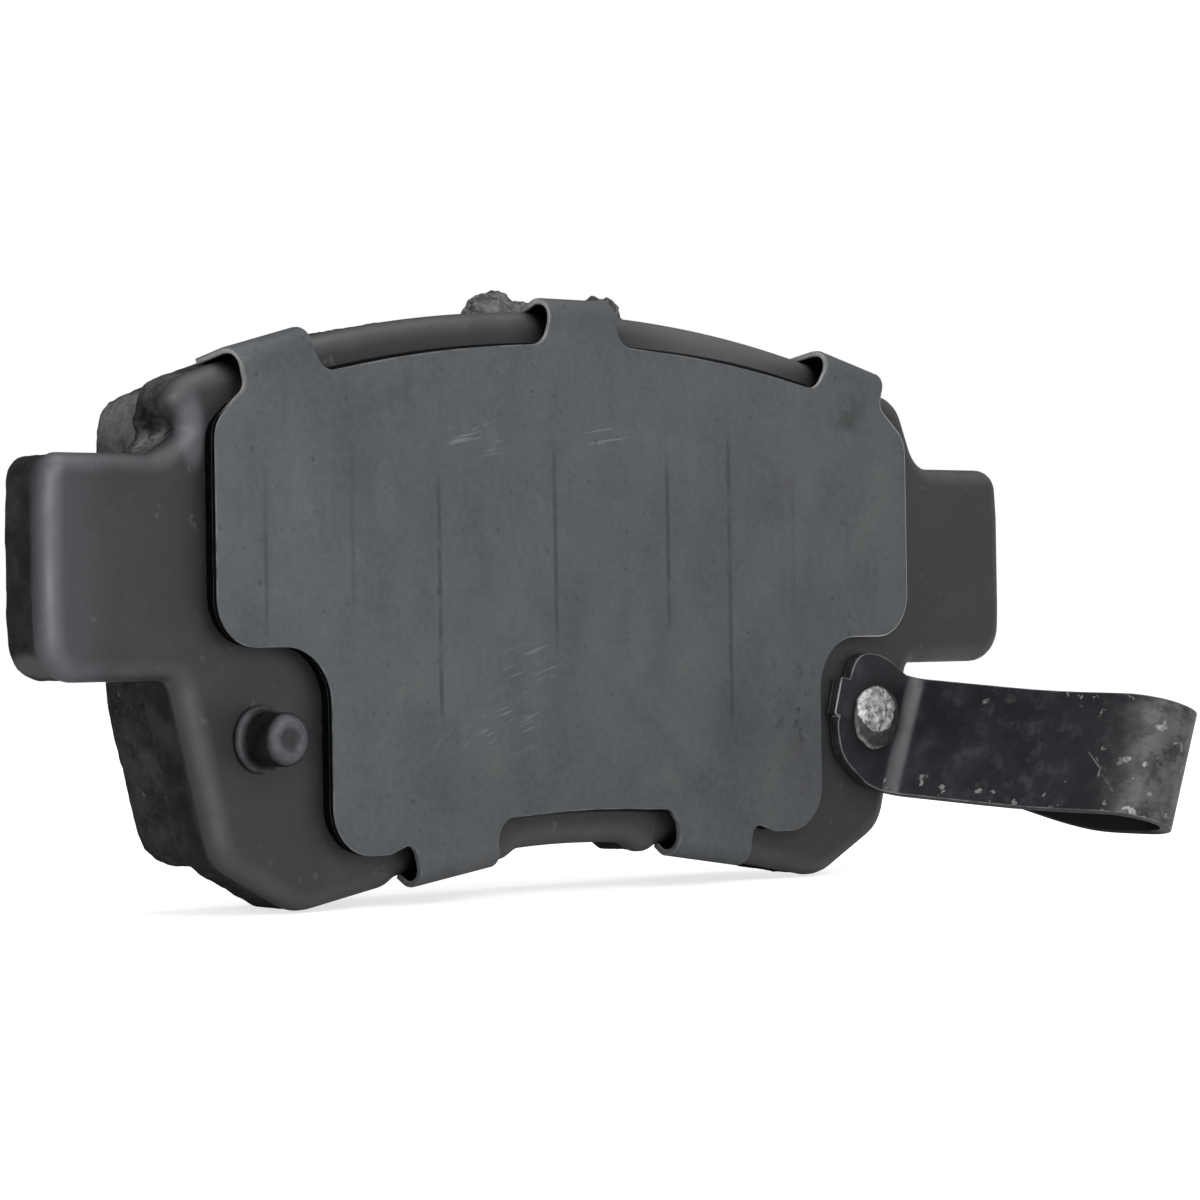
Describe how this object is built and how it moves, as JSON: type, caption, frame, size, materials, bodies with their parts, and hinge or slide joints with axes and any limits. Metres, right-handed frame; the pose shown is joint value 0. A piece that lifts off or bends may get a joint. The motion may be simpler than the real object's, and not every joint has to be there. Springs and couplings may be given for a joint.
{
  "type": "disc brake pad",
  "caption": "Disc brake pad: black steel backing plate with ears, grey clip-on shim with folded hooks, moulded lining, locating peg and looped spring wear indicator.",
  "frame": {"origin": "middle of the shim's piston face, midway between the ends of the ears and level with the ears' mid-height", "axes": "+X along the pad towards the wear indicator, +Y from the piston side towards the rotor, +Z radially outward from the rotor's centre"},
  "size_m": [0.1, 0.0357, 0.0463],
  "materials": {
    "painted_plate": "satin black paint",
    "lining": "rough moulded friction material",
    "lining_layer": "rough moulded backing layer",
    "coated_shim": "matt grey coating with bare cut edges",
    "shim_coating": "matt black rubber coating on steel",
    "dark_spring_steel": "blue-black spring steel with scratches",
    "hammered_steel": "bright hammered head"
  },
  "bodies": {
    "pad": {"backing_plate": "painted_plate", "friction_block": "lining", "lining_underlayer": "lining_layer", "inner_shim": "shim_coating", "outer_shim": "coated_shim", "locating_peg": "painted_plate", "indicator_rivet": "hammered_steel", "wear_indicator_base": "dark_spring_steel"},
    "indicator": {"wear_indicator_leaf": "dark_spring_steel"}
  },
  "joints": [
    {"name": "indicator_flex", "type": "hinge", "parent": "pad", "child": "indicator", "pos_m": [0.0345, 0.00075, -0.0136], "axis": [0.3558, 0, 0.9346], "range_deg": [-6, 6], "stiffness_Nm_per_rad": 2}
  ]
}
